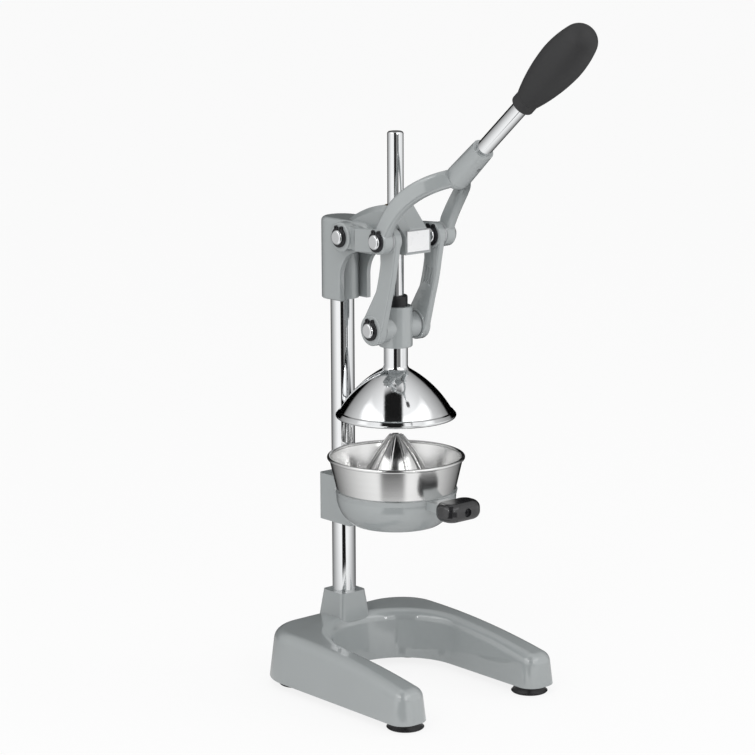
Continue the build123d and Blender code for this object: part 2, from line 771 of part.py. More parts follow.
# Links: bowed bars with an eye at each end and three grooves down the inner face
link_lean = atan2(-link_pin_y, link_pin_z - cross_pin_z)
link_mid = (link_pin_y / 2 - link_bow * cos(link_lean),
            (link_pin_z + cross_pin_z) / 2 - link_bow * sin(link_lean))
link_low = (0, cross_pin_z)
link_top = (link_pin_y, link_pin_z)
web_edges = arc_band(link_low, link_mid, link_top, link_half_w)



def link_neck(eye_place, eye_r, share):
    """Tapered web from a link's eye to a place along the link, given as a share of its length."""
    bow_share = 4 * share * (1 - share)
    chord_mid = ((link_low[0] + link_top[0]) / 2, (link_low[1] + link_top[1]) / 2)
    neck_end = tuple(low + (top - low) * share + (mid - half) * bow_share
                     for low, top, mid, half in zip(link_low, link_top, link_mid, chord_mid))
    with BuildPart() as neck:
        with BuildSketch(Plane.YZ.offset(link_in_x + link_web_inset)):
            with Locations(eye_place):
                Circle(eye_r)
            with Locations(neck_end):
                Circle(link_half_w)
            make_hull()
        extrude(amount=link_t - 2 * link_web_inset)
        fillet(neck.edges().group_by(Axis.X)[0] + neck.edges().group_by(Axis.X)[-1], link_edge_r)
    return neck.part


with BuildPart() as link:
    with BuildSketch(Plane.YZ.offset(link_in_x + link_web_inset)):
        with BuildLine():
            ThreePointArc(*web_edges[0])
            Line(web_edges[0][2], web_edges[1][2])
            ThreePointArc(*reversed(web_edges[1]))
            Line(web_edges[1][0], web_edges[0][0])
        make_face()
    extrude(amount=link_t - 2 * link_web_inset)
    fillet(link.edges().filter_by(lambda edge: edge.length > link_reach / 2), link_edge_r)
    for groove_mid in (-link_groove_step, 0, link_groove_step):
        front_edge = arc_band(link_low, link_mid, link_top, groove_mid + link_groove_half_w)[0]
        rear_edge = arc_band(link_low, link_mid, link_top, groove_mid - link_groove_half_w)[0]
        with BuildSketch(Plane.YZ.offset(link_in_x + link_web_inset)):
            with BuildLine():
                ThreePointArc(*front_edge)
                Line(front_edge[2], rear_edge[2])
                ThreePointArc(*reversed(rear_edge))
                Line(rear_edge[0], front_edge[0])
            make_face()
        extrude(amount=link_groove_depth, mode=Mode.SUBTRACT)
    for eye_place, eye_r, neck_share in ((link_low, link_low_eye_r, link_low_neck),
                                         (link_top, link_top_eye_r, link_top_neck)):
        add(link_neck(eye_place, eye_r, neck_share))
        add(eye_boss(eye_place, eye_r, link_in_x, link_t))
        with BuildSketch(Plane.YZ.offset(link_in_x)):
            with Locations(eye_place):
                Circle(pin_r + pin_fit)
        extrude(amount=link_t, mode=Mode.SUBTRACT)
save("right_link", link.part)
save("left_link", mirror(link.part, about=Plane.YZ))


# Lever fork: on each side a bar from the rear pivot to the link pin and an arm on to the handle socket.
# Each is the overlap of its outline from the side and its outline from above.
handle_dir = (0, -cos(radians(handle_rise)), sin(radians(handle_rise)))
socket_low = (0, socket_low_y, socket_low_z)
handle_axis = Axis(socket_low, handle_dir)
handle_plane = Plane(origin=socket_low, x_dir=(1, 0, 0), z_dir=(0, -handle_dir[2], handle_dir[1]))
arm_root_mid = (arm_root_x, socket_low_y)
arm_side = arc_band(link_top, (arm_mid_y, arm_mid_z), (socket_low_y, socket_low_z), arm_half_h)
arm_plan = arc_band((lever_out_x - arm_t / 2, link_pin_y), (arm_mid_x, arm_mid_y), arm_root_mid, arm_t / 2)
fork_reach = hypot(socket_low_y - link_pin_y, socket_low_z - link_pin_z)

with BuildPart() as fork_arm:
    with BuildSketch(Plane.YZ):
        with BuildLine():
            ThreePointArc(*arm_side[0])
            Line(arm_side[0][2], arm_side[1][2])
            ThreePointArc(*reversed(arm_side[1]))
            Line(arm_side[1][0], arm_side[0][0])
        make_face()
    extrude(amount=2 * lever_out_x, both=True)
    with BuildSketch(Plane.XY):
        with BuildLine():
            ThreePointArc(*arm_plan[0])
            Line(arm_plan[0][2], arm_plan[1][2])
            ThreePointArc(*reversed(arm_plan[1]))
            Line(arm_plan[1][0], arm_plan[0][0])
        make_face()
    extrude(amount=rod_top_z, both=True, mode=Mode.INTERSECT)
    fillet(fork_arm.edges().filter_by(lambda edge: edge.length > fork_reach / 2), arm_edge_r)

bar_turn = atan2(link_pin_z - pivot_z, pivot_y - link_pin_y)
bar_clear_y = link_pin_y + bar_clear_run
bar_pivot_x = pivot_out_x - bar_t - link_edge_r

with BuildPart() as fork_bar:
    with BuildSketch(Plane.YZ):
        with BuildLine():
            lift = (bar_half_h * sin(bar_turn), bar_half_h * cos(bar_turn))
            Polyline((link_pin_y + lift[0], link_pin_z + lift[1]), (pivot_y + lift[0], pivot_z + lift[1]),
                     (pivot_y - lift[0], pivot_z - lift[1]), (link_pin_y - lift[0], link_pin_z - lift[1]),
                     close=True)
        make_face()
    extrude(amount=2 * lever_out_x, both=True)
    with BuildSketch(Plane.XY):
        with BuildLine():
            bar_low_y = pivot_y - pivot_eye_r
            Polyline((lever_in_x, link_pin_y), (lever_in_x, bar_clear_y), (bar_pivot_x, bar_low_y),
                     (bar_pivot_x, pivot_y), (bar_pivot_x + bar_t, pivot_y), (bar_pivot_x + bar_t, bar_low_y),
                     (lever_in_x + bar_t, bar_clear_y), (lever_in_x + bar_t, link_pin_y), close=True)
        make_face()
    extrude(amount=rod_top_z, both=True, mode=Mode.INTERSECT)

with BuildPart() as lever_fork:
    add(fork_arm.part)
    add(fork_bar.part)
    add(eye_boss((pivot_y, pivot_z), pivot_eye_r, pivot_in_x, pivot_eye_t))
    add(eye_boss(link_top, link_eye_r, lever_in_x, lever_boss_t))
    mirror(about=Plane.YZ)
    with BuildSketch(handle_plane):
        with BuildLine():
            root_r = handle_socket_root_r
            Line((0, handle_socket_len), (0, -root_r))
            ThreePointArc((0, -root_r), (root_r * sin(radians(45)), -root_r * sin(radians(45))), (root_r, 0))
            Polyline((root_r, 0), (handle_socket_r, handle_socket_len), (0, handle_socket_len))
        make_face()
    revolve(axis=handle_axis)
    with BuildSketch(handle_plane):
        with Locations((0, handle_socket_len)):
            Rectangle(handle_rod_r + seat_fit, handle_bore_len, align=(Align.MIN, Align.MAX))
    revolve(axis=handle_axis, mode=Mode.SUBTRACT)
    with BuildSketch(Plane.YZ):
        with Locations((pivot_y, pivot_z)):
            Circle(pin_r + seat_fit)
        with Locations(link_top):
            Circle(pin_r + seat_fit)
    extrude(amount=2 * lever_out_x, both=True, mode=Mode.SUBTRACT)
    roll_pin_at = handle_socket_len - handle_bore_len / 2
    roll_pin_top = handle_rod_r + roll_pin_bite
    with BuildSketch(handle_plane.offset(-roll_pin_top)):
        with Locations((0, roll_pin_at)):
            Circle(roll_pin_r + seat_fit)
    extrude(amount=roll_pin_top + handle_socket_root_r, mode=Mode.SUBTRACT)
save("lever_fork", lever_fork.part)

rod_from = handle_socket_len - handle_bore_len + seat_fit
rod_to = grip_start + grip_bore_len - side_gap
with BuildPart() as handle_rod:
    with BuildSketch(handle_plane):
        with Locations((0, rod_from)):
            Rectangle(handle_rod_r, rod_to - rod_from, align=(Align.MIN, Align.MIN))
    revolve(axis=handle_axis)
    with BuildSketch(handle_plane):
        with Locations((0, roll_pin_at)):
            Circle(roll_pin_r + seat_fit)
    extrude(amount=handle_socket_root_r, both=True, mode=Mode.SUBTRACT)
save("handle_rod", handle_rod.part)

with BuildPart() as handle_roll_pin:
    with BuildSketch(handle_plane.offset(seat_fit - roll_pin_top)):
        with Locations((0, roll_pin_at)):
            Circle(roll_pin_r)
    extrude(amount=roll_pin_top + handle_socket_r - side_gap)
save("handle_roll_pin", handle_roll_pin.part)

# Soft grip: a collar, a swelling body and a ball end
tip_run = grip_len - grip_end_at
tip_ball_r = (grip_end_r**2 + tip_run**2) / (2 * tip_run)
with BuildPart() as grip:
    with BuildSketch(handle_plane):
        with BuildLine():
            step_s = grip_start + grip_collar_len
            neck_s = step_s + grip_neck_r - grip_collar_r
            belly_s = grip_start + grip_belly_at
            end_s = grip_start + grip_end_at
            tip_s = grip_start + grip_len
            bore_x = handle_rod_r + seat_fit
            bore_s = grip_start + grip_bore_len
            Polyline((0, bore_s), (bore_x, bore_s), (bore_x, grip_start), (grip_collar_r, grip_start),
                     (grip_collar_r, step_s), (grip_neck_r, neck_s))
            ThreePointArc((grip_neck_r, neck_s), (grip_swell_r, grip_start + grip_swell_at),
                          (grip_belly_r, belly_s))
            ThreePointArc((grip_belly_r, belly_s), (grip_fall_r, grip_start + grip_fall_at),
                          (grip_end_r, end_s))
            tip_mid = (tip_ball_r * sin(radians(45)), tip_s - tip_ball_r * (1 - sin(radians(45))))
            ThreePointArc((grip_end_r, end_s), tip_mid, (0, tip_s))
            Line((0, tip_s), (0, bore_s))
        make_face()
    revolve(axis=handle_axis)
save("grip", grip.part)

# Bowl holder: a clamp block on the column, an open cup for the bowl and a lug for the front grip
cup_in_r = bowl_foot_r - bowl_step + side_gap
cup_floor_z = cup_bottom_z + cup_floor
cup_seat_z = cup_floor_z + (cup_top_z - cup_floor_z) / 2
holder_front_y = column_y - column_r - holder_half_w
block_top_y = bowl_foot_r + bowl_step / 2

with BuildPart() as clamp_block:
    with BuildSketch(Plane.YZ):
        with BuildLine():
            Polyline((column_y + holder_rear, holder_bottom_z), (column_y + holder_rear, holder_top_z),
                     (block_top_y, holder_top_z), (block_top_y, cup_top_z), (cup_bottom_r, cup_top_z),
                     (cup_bottom_r - cup_wall, cup_bottom_z), (holder_front_y, holder_bottom_z), close=True)
        make_face()
    extrude(amount=holder_half_w, both=True)
    fillet(clamp_block.edges().filter_by(Axis.Z).group_by(Axis.Y)[-1], holder_corner_r)

with BuildPart() as bowl_holder:
    with BuildSketch(Plane.XZ):
        with BuildLine():
            Polyline((0, cup_top_z), (cup_top_r, cup_top_z), (cup_top_r - cup_wall / 4, cup_top_z - cup_wall))
            cup_mid = ((cup_top_r + cup_bottom_r) / 2 + cup_wall / 2,
                       (cup_top_z + cup_bottom_z) / 2 - cup_wall)
            ThreePointArc((cup_top_r - cup_wall / 4, cup_top_z - cup_wall), cup_mid,
                          (cup_bottom_r, cup_bottom_z))
            Polyline((cup_bottom_r, cup_bottom_z), (0, cup_bottom_z), (0, cup_top_z))
        make_face()
    revolve(axis=Axis.Z)
    add(clamp_block.part)
    with BuildSketch(Plane.XY.offset(paddle_z - grip_lug_t / 2)):
        with Locations((0, (grip_lug_y - cup_bottom_r) / 2)):
            Rectangle(grip_lug_w, -grip_lug_y - cup_bottom_r)
    extrude(amount=grip_lug_t)
    with BuildSketch(Plane.XZ):
        with BuildLine():
            Polyline((0, cup_floor_z), (cup_bottom_r - cup_wall, cup_floor_z), (cup_in_r, cup_seat_z),
                     (cup_in_r, holder_top_z), (0, holder_top_z), close=True)
        make_face()
    revolve(axis=Axis.Z, mode=Mode.SUBTRACT)
    with Locations((0, 0, cup_bottom_z)):
        Cylinder(cup_outlet_r, cup_floor, align=(Align.CENTER, Align.CENTER, Align.MIN),
                 mode=Mode.SUBTRACT)
    with Locations((0, column_y, holder_bottom_z)):
        Cylinder(column_r + seat_fit, holder_top_z - holder_bottom_z,
                 align=(Align.CENTER, Align.CENTER, Align.MIN), mode=Mode.SUBTRACT)
    holder_screw_z = (holder_bottom_z + holder_top_z) / 2
    with BuildSketch(Plane.XZ.offset(-column_y - holder_rear)):
        with Locations((0, holder_screw_z)):
            Circle(set_screw_r + seat_fit)
    extrude(amount=holder_rear - column_r, mode=Mode.SUBTRACT)
    with BuildSketch(Plane.XZ.offset(-grip_lug_y)):
        with Locations((0, paddle_z)):
            Circle(paddle_screw_r + seat_fit)
    extrude(amount=-paddle_screw_depth, mode=Mode.SUBTRACT)
save("bowl_holder", bowl_holder.part)
save("holder_set_screw", set_screw(holder_screw_z, holder_rear - column_r - side_gap))

with BuildPart() as front_grip:
    paddle_d = paddle_rear_y - paddle_front_y
    with BuildSketch(Plane.XY.offset(paddle_z - paddle_t / 2)):
        with Locations((0, (paddle_front_y + paddle_rear_y) / 2)):
            RectangleRounded(paddle_w, paddle_d, paddle_corner_r)
    extrude(amount=paddle_t)
    fillet(front_grip.edges().group_by(Axis.Z)[0] + front_grip.edges().group_by(Axis.Z)[-1], paddle_edge_r)
    with BuildSketch(Plane.XY.offset(paddle_z - grip_lug_t / 2 - seat_fit)):
        with Locations((0, (grip_lug_y - seat_fit + paddle_rear_y) / 2)):
            Rectangle(grip_lug_w + 2 * seat_fit, paddle_rear_y - grip_lug_y + seat_fit)
    extrude(amount=grip_lug_t + 2 * seat_fit, mode=Mode.SUBTRACT)
    with BuildSketch(Plane.XZ.offset(-paddle_front_y)):
        with Locations((0, paddle_z)):
            Circle(paddle_screw_head_r + screw_gap)
    extrude(amount=-paddle_screw_sink, mode=Mode.SUBTRACT)
    with BuildSketch(Plane.XZ.offset(-paddle_front_y)):
        with Locations((0, paddle_z)):
            Circle(paddle_screw_r + screw_gap)
    extrude(amount=-paddle_d, mode=Mode.SUBTRACT)
save("front_grip", front_grip.part)

with BuildPart() as front_grip_screw:
    screw_seat_y = paddle_front_y + paddle_screw_sink
    with BuildSketch(Plane.XZ.offset(-screw_seat_y)):
        with Locations((0, paddle_z)):
            Circle(paddle_screw_head_r)
    extrude(amount=paddle_screw_sink / 2)
    with BuildSketch(Plane.XZ.offset(-screw_seat_y)):
        with Locations((0, paddle_z)):
            Circle(paddle_screw_r)
    extrude(amount=screw_seat_y - grip_lug_y - paddle_screw_depth + side_gap)
    with BuildSketch(Plane.XZ.offset(-screw_seat_y + paddle_screw_sink / 2)):
        with Locations((0, paddle_z)):
            for turn in (0, 90):
                Rectangle(paddle_screw_head_r, paddle_screw_head_r / 4, rotation=turn)
    extrude(amount=-paddle_screw_sink / 4, mode=Mode.SUBTRACT)
save("front_grip_screw", front_grip_screw.part)

# Bowl with a rolled rim, hung by its step on the holder's cup, and a spout through the cup's floor
seat_z = cup_top_z + seat_fit
step_r = bowl_foot_r - bowl_step
rim_mid_z = bowl_rim_z - bowl_bead_r
rim_mid_r = bowl_rim_r - bowl_bead_r
floor_fall = (bowl_floor_z - bowl_sump_z) / (step_r - bowl_spout_r)

with BuildPart() as juice_bowl:
    with BuildSketch(Plane.XZ):
        with BuildLine():
            Polyline((rim_mid_r, rim_mid_z), (bowl_foot_r, seat_z), (step_r, seat_z), (step_r, bowl_floor_z),
                     (bowl_spout_r, bowl_sump_z), (bowl_spout_r, bowl_spout_z),
                     (bowl_spout_r - bowl_wall, bowl_spout_z),
                     (bowl_spout_r - bowl_wall, bowl_sump_z + bowl_wall),
                     (step_r - bowl_wall, bowl_floor_z + bowl_wall), (step_r - bowl_wall, seat_z + bowl_wall),
                     (bowl_foot_r - bowl_wall, seat_z + bowl_wall), (rim_mid_r - bowl_wall, rim_mid_z),
                     close=True)
        make_face()
        with Locations((rim_mid_r, rim_mid_z)):
            Circle(bowl_bead_r)
    revolve(axis=Axis.Z)
save("juice_bowl", juice_bowl.part)

# Strainer: an inverted slotted pan that stands on the bowl's floor and carries the ribbed reamer cone
strainer_foot_z = bowl_sump_z + bowl_wall + (strainer_r - bowl_spout_r + bowl_wall) * floor_fall + seat_fit


def cone_profile(grow):
    """Three points, root, middle and nose, of the reamer cone's outline, moved out by grow."""
    return ((reamer_root_r + grow, strainer_z), (reamer_mid_r + grow, reamer_mid_z),
            (reamer_nose_r + grow, reamer_tip_z - reamer_nose_r / 2 + grow / 2))


with BuildPart() as reamer_rib:
    with BuildSketch(Plane.XZ):
        with BuildLine():
            outer = cone_profile(reamer_rib_h)
            inner = cone_profile(-strainer_wall / 2)
            ThreePointArc(*outer)
            Line(outer[2], inner[2])
            ThreePointArc(*reversed(inner))
            Line(inner[0], outer[0])
        make_face()
    extrude(amount=reamer_rib_half_w, both=True)
    crests = reamer_rib.edges().filter_by(lambda edge: edge.length > reamer_root_r).sort_by(Axis.X)
    fillet(crests[-2:], reamer_rib_edge_r)

with BuildPart() as strainer:
    with BuildSketch(Plane.XZ):
        with BuildLine():
            outer = cone_profile(0)
            inner = cone_profile(-strainer_wall)
            Line((0, reamer_tip_z), (reamer_nose_r / 2, reamer_tip_z))
            Line((reamer_nose_r / 2, reamer_tip_z), outer[2])
            ThreePointArc(*reversed(outer))
            under_z = strainer_z - strainer_wall
            Polyline(outer[0], (strainer_r - strainer_wall, strainer_z), (strainer_r, under_z),
                     (strainer_r, strainer_foot_z), (strainer_r - strainer_wall, strainer_foot_z),
                     (strainer_r - strainer_wall, under_z), (inner[0][0], under_z), inner[0])
            ThreePointArc(*inner)
            Polyline(inner[2], (0, inner[2][1]), (0, reamer_tip_z))
        make_face()
    revolve(axis=Axis.Z)
    slot_len = strainer_r - 2 * strainer_wall - reamer_root_r - 2 * reamer_rib_h
    slot_mid_r = reamer_root_r + reamer_rib_h + strainer_wall + slot_len / 2
    with BuildSketch(Plane.XY.offset(strainer_z)):
        with PolarLocations(slot_mid_r, strainer_slots):
            SlotOverall(slot_len, strainer_slot_w)
    extrude(amount=-strainer_wall, mode=Mode.SUBTRACT)
    with PolarLocations(0, reamer_ribs):
        add(reamer_rib.part)
save("strainer", strainer.part)
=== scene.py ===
"""Looks of the manual lever citrus press: paint, chrome, steel, rubber, plastic and studio light."""

import json
import math

import bmesh
import bpy
from mathutils import Matrix, Vector


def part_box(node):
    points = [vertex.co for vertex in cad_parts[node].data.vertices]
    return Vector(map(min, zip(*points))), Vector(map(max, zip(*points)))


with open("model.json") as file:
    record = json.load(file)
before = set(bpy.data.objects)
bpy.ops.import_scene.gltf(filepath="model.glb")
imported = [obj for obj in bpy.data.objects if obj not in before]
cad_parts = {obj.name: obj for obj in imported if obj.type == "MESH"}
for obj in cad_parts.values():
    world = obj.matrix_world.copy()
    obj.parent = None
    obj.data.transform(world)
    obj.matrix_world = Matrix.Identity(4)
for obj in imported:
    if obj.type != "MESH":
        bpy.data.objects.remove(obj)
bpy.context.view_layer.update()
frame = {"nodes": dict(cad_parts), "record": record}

MM = 0.001

# Camera: turn about the press, height above the table, distance, lens and the point it looks at
CAMERA_TURN = math.radians(-40.893)
CAMERA_RISE = math.radians(11.467)
CAMERA_ROLL = math.radians(-0.214)
CAMERA_RANGE = 2216.8 * MM
CAMERA_LENS = 122.47
CAMERA_SENSOR = 36.0
CAMERA_TARGET = Vector((-11.99, 10.385, 275.35)) * MM

# Stage
FLOOR_HALF = 40.0
FLOOR_DROP = 0.2 * MM
FLOOR_GLOW = 0.85
FLOOR_WHITE = (0.9, 0.9, 0.9)

# What polished metal sees of the studio: a bright end in front of the press that fades to a dark end behind
# it, a dark slot where the camera stands, grey floor on the right of the slot, a light panel on the right
# and a bright band overhead. Each SHARP says how fast an edge fades.
STUDIO_MIDDLE = Vector((0.0, 0.0, 0.28))
STUDIO_LEVEL = 0.74
STUDIO_PEAK = 1.12
END_SHARP = 12.0
SKY_DARK_END = -0.66
FLOOR_DARK_END = -0.86
FRONT_FROM = 0.15
FRONT_SHARP = 5.0
SLOT_AT = -0.08
SLOT_HALF = 0.3
SLOT_DEPTH = 0.99
SLOT_NEAR = -0.745
SLOT_SHARP = 16.0
PANEL_LEVEL = 0.3
PANEL_LEAN = 0.18
PANEL_FROM = 0.88
PANEL_SHARP = 10.0
SHADE_FROM = 0.16
SHADE_TO = 0.74
SHADE_DEPTH = 0.8
SHADE_SHARP = 12.0
SHADE_NEAR = -0.55
SHADE_NEAR_SHARP = 8.0
SHADE_TOP = 0.05
SHADE_TOP_SHARP = 20.0
BAND_MIDDLE = 0.66
BAND_HALF = 0.14
BAND_LEVEL = 1.3
BAND_SHARP = 8.0
BAND_FRONT_SHARP = 4.0
SKY_LEVEL = 0.82

# Soft lamps: name, place, size, watts and whether polished metal mirrors them
SOFTBOXES = (
    ("key_box", (-1.1, -0.7, 1.5), (1.1, 1.1), 6.0, False),
    ("side_box", (1.3, -1.0, 0.8), (0.5, 1.3), 4.0, False),
    ("left_spark", (-1.45, -0.6, 1.1), (0.1, 0.1), 1.0, True),
    ("right_spark", (-0.35, -1.7, 0.75), (0.1, 0.1), 1.0, True),
)

# Finishes, as linear colours
PAINT_GREY = (0.345, 0.369, 0.373)
PAINT_DARK = (0.32, 0.343, 0.347)
CHROME_TINT = (0.8, 0.81, 0.82)
STEEL_TINT = (0.79, 0.79, 0.785)
ZINC_TINT = (0.58, 0.585, 0.6)
BRASS_TINT = (0.72, 0.53, 0.25)
OXIDE_BLACK = (0.022, 0.022, 0.024)
RUBBER_BLACK = (0.009, 0.009, 0.01)
GRIP_GREY = (0.031, 0.031, 0.032)
GLOSS_BLACK = (0.013, 0.013, 0.014)
PLATE_WHITE = (0.86, 0.865, 0.87)
PLATE_EDGE = (0.3, 0.31, 0.32)
PLATE_BORDER = 0.9 * MM
POLISH_GRAIN = (900.0, 900.0, 25.0)
# Painted shade: the zinc grip screw is dressed in the black ring finish for the deep shade it sits in within
# the black grip
PAINTED_SHADE_FINISHES = {"front_grip_screw": "black_ring"}


class Value:
    """A socket of a node tree. Arithmetic on it adds Math nodes."""

    def __init__(self, maker, socket):
        self.maker = maker
        self.socket = socket

    def math(self, operation, first, second=0.0):
        return self.maker.node("ShaderNodeMath", {"operation": operation}, {0: first, 1: second})

    def __add__(self, other):
        return self.math("ADD", self, other)

    __radd__ = __add__

    def __sub__(self, other):
        return self.math("SUBTRACT", self, other)

    def __rsub__(self, other):
        return self.math("SUBTRACT", other, self)

    def __mul__(self, other):
        return self.math("MULTIPLY", self, other)

    __rmul__ = __mul__

    def __gt__(self, other):
        return self.math("GREATER_THAN", self, other)

    def __abs__(self):
        return self.math("ABSOLUTE", self)

    def at_least(self, other):
        return self.math("MAXIMUM", self, other)

    def at_most(self, other):
        return self.math("MINIMUM", self, other)

    def limited(self):
        """Kept between 0 and 1."""
        return self.at_least(0.0).at_most(1.0)


class Nodes:
    """Adds nodes to one tree: a node's type, its settings, then what its sockets hold."""

    def __init__(self, tree):
        self.tree = tree

    def node(self, kind, settings=None, inputs=None, output=0):
        made = self.tree.nodes.new(kind)
        for name, setting in (settings or {}).items():
            setattr(made, name, setting)
        for name, held in (inputs or {}).items():
            self.feed(made.inputs[name], held)
        return Value(self, made.outputs[output])

    def feed(self, socket, held):
        if isinstance(held, Value):
            self.tree.links.new(held.socket, socket)
        elif isinstance(held, tuple) and socket.type == "RGBA":
            socket.default_value = (*held, 1.0)
        else:
            socket.default_value = held

    def place(self):
        """Object coordinates, in metres in the press's own frame."""
        return self.node("ShaderNodeTexCoord", output="Object")

    def axes(self, vector):
        """The three numbers of a vector."""
        parts = self.node("ShaderNodeSeparateXYZ", None, {"Vector": vector}).socket.node
        return [Value(self, socket) for socket in parts.outputs]

    def noise(self, vector, scale, detail):
        inputs = {"Vector": vector, "Scale": scale, "Detail": detail}
        return self.node("ShaderNodeTexNoise", None, inputs)

    def stretched(self, vector, scale):
        """A vector with each of its axes scaled, for grain that runs one way."""
        return self.node("ShaderNodeMapping", None, {"Vector": vector, "Scale": scale})

    def round_axis(self, vector, x=0.0, y=0.0):
        """Distance from an upright axis and height, for marks left by a lathe."""
        across, along, height = self.axes(vector)
        radius = self.node("ShaderNodeMath", {"operation": "POWER"},
                           {0: (across - x) * (across - x) + (along - y) * (along - y), 1: 0.5})
        return self.node("ShaderNodeCombineXYZ", None, {"X": radius, "Z": height})

    def along(self, vector, way):
        """How far a vector goes one way."""
        return self.node("ShaderNodeVectorMath", {"operation": "DOT_PRODUCT"}, {0: vector, 1: way}, "Value")

    def blend(self, factor, first, second):
        """A colour between two colours."""
        return self.node("ShaderNodeMix", {"data_type": "RGBA"}, {0: factor, 6: first, 7: second}, 2)

    def bump(self, height, strength, distance):
        return self.node("ShaderNodeBump", None,
                         {"Strength": strength, "Distance": distance, "Height": height})


def shaded(colour, share):
    """A colour made darker or paler."""
    return tuple(channel * share for channel in colour)


def finish(name, **sockets):
    """A new material: its nodes and a function that fills its shader's sockets."""
    material = bpy.data.materials.new(name)
    material.use_nodes = True
    nodes = Nodes(material.node_tree)
    shader = material.node_tree.nodes["Principled BSDF"]

    def fill(**held):
        for socket, value in held.items():
            nodes.feed(shader.inputs[socket.replace("_", " ")], value)

    fill(**sockets)
    return material, nodes, fill


def grey_paint():
    """Grey gloss paint on castings: slow shade changes, orange peel and a clear coat."""
    material, nodes, fill = finish("grey_paint", IOR=1.5, Coat_IOR=1.75, Coat_Roughness=0.03)
    place = nodes.place()
    cloud = nodes.noise(place, scale=14.0, detail=2.0)
    peel = nodes.noise(place, scale=420.0, detail=1.0)
    cast = nodes.noise(place, scale=60.0, detail=2.0)
    fill(Base_Color=nodes.blend(cloud, PAINT_DARK, PAINT_GREY),
         Roughness=0.28 + 0.1 * cloud,
         Coat_Weight=0.75 + 0.25 * cast,
         Normal=nodes.bump(peel + cast * 2.0, strength=0.05, distance=0.4 * MM))
    return material


def chrome():
    """Bright chrome plate with faint polishing haze and finger smears."""
    material, nodes, fill = finish("chrome", Metallic=1.0)
    place = nodes.place()
    haze = nodes.noise(place, scale=35.0, detail=3.0)
    lines = nodes.noise(nodes.stretched(place, POLISH_GRAIN), scale=1.0, detail=2.0)
    fill(Base_Color=nodes.blend(haze, shaded(CHROME_TINT, 0.96), CHROME_TINT),
         Roughness=0.035 + 0.05 * haze + 0.02 * lines,
         Normal=nodes.bump(lines, strength=0.02, distance=0.05 * MM))
    return material


def spun_steel():
    """Stainless steel sheet, spun and brushed round the press axis."""
    material, nodes, fill = finish("stainless", Metallic=1.0)
    place = nodes.place()
    rings = nodes.round_axis(place)
    fine = nodes.noise(rings, scale=2600.0, detail=2.0)
    broad = nodes.noise(rings, scale=420.0, detail=2.0)
    haze = nodes.noise(place, scale=30.0, detail=2.0)
    fill(Base_Color=nodes.blend(broad, shaded(STEEL_TINT, 0.94), STEEL_TINT),
         Roughness=0.13 + 0.09 * fine + 0.05 * haze,
         Normal=nodes.bump(fine + broad, strength=0.06, distance=0.05 * MM))
    return material


def zinc_steel():
    """Bright zinc on small fasteners, slightly mottled."""
    material, nodes, fill = finish("zinc_steel", Metallic=1.0)
    mottle = nodes.noise(nodes.place(), scale=260.0, detail=3.0)
    fill(Base_Color=nodes.blend(mottle, shaded(ZINC_TINT, 0.86), ZINC_TINT),
         Roughness=0.22 + 0.18 * mottle)
    return material


def bush_brass():
    """Turned brass with fine lathe rings."""
    material, nodes, fill = finish("bush_brass", Metallic=1.0)
    rings = nodes.noise(nodes.round_axis(nodes.place()), scale=2200.0, detail=2.0)
    fill(Base_Color=nodes.blend(rings, shaded(BRASS_TINT, 0.88), BRASS_TINT),
         Roughness=0.25 + 0.12 * rings,
         Normal=nodes.bump(rings, strength=0.08, distance=0.05 * MM))
    return material


def black_oxide():
    """Blackened spring steel of the retaining rings, a little oily; on the grip screw it is painted shade."""
    material, nodes, fill = finish("black_oxide", Metallic=0.6)
    patch = nodes.noise(nodes.place(), scale=320.0, detail=3.0)
    fill(Base_Color=nodes.blend(patch, OXIDE_BLACK, shaded(OXIDE_BLACK, 1.8)),
         Roughness=0.3 + 0.2 * patch)
    return material


def black_rubber():
    """Moulded rubber: matte, with a fine skin and pale scuffs."""
    material, nodes, fill = finish("black_rubber", Specular_IOR_Level=0.4)
    place = nodes.place()
    skin = nodes.noise(place, scale=900.0, detail=2.0)
    scuff = nodes.noise(place, scale=90.0, detail=3.0)
    fill(Base_Color=nodes.blend(scuff, RUBBER_BLACK, shaded(RUBBER_BLACK, 1.7)),
         Roughness=0.3 + 0.2 * scuff,
         Normal=nodes.bump(skin, strength=0.12, distance=0.15 * MM))
    return material


def soft_grip():
    """Soft-touch handle cover: dark grey with a fine stipple."""
    material, nodes, fill = finish("soft_grip", Specular_IOR_Level=0.3)
    place = nodes.place()
    stipple = nodes.noise(place, scale=1100.0, detail=2.0)
    touch = nodes.noise(place, scale=28.0, detail=3.0)
    fill(Base_Color=nodes.blend(touch, GRIP_GREY, shaded(GRIP_GREY, 1.2)),
         Roughness=0.5 + 0.14 * touch,
         Normal=nodes.bump(stipple, strength=0.16, distance=0.15 * MM))
    return material


def gloss_plastic():
    """Black moulded plastic with a slightly wavy gloss."""
    material, nodes, fill = finish("black_gloss", Coat_Roughness=0.05)
    place = nodes.place()
    wave = nodes.noise(place, scale=110.0, detail=1.0)
    mark = nodes.noise(place, scale=700.0, detail=3.0)
    fill(Base_Color=nodes.blend(mark, GLOSS_BLACK, shaded(GLOSS_BLACK, 1.6)),
         Roughness=0.16 + 0.1 * mark,
         Coat_Weight=0.4 + 0.2 * wave,
         Normal=nodes.bump(wave, strength=0.1, distance=0.3 * MM))
    return material


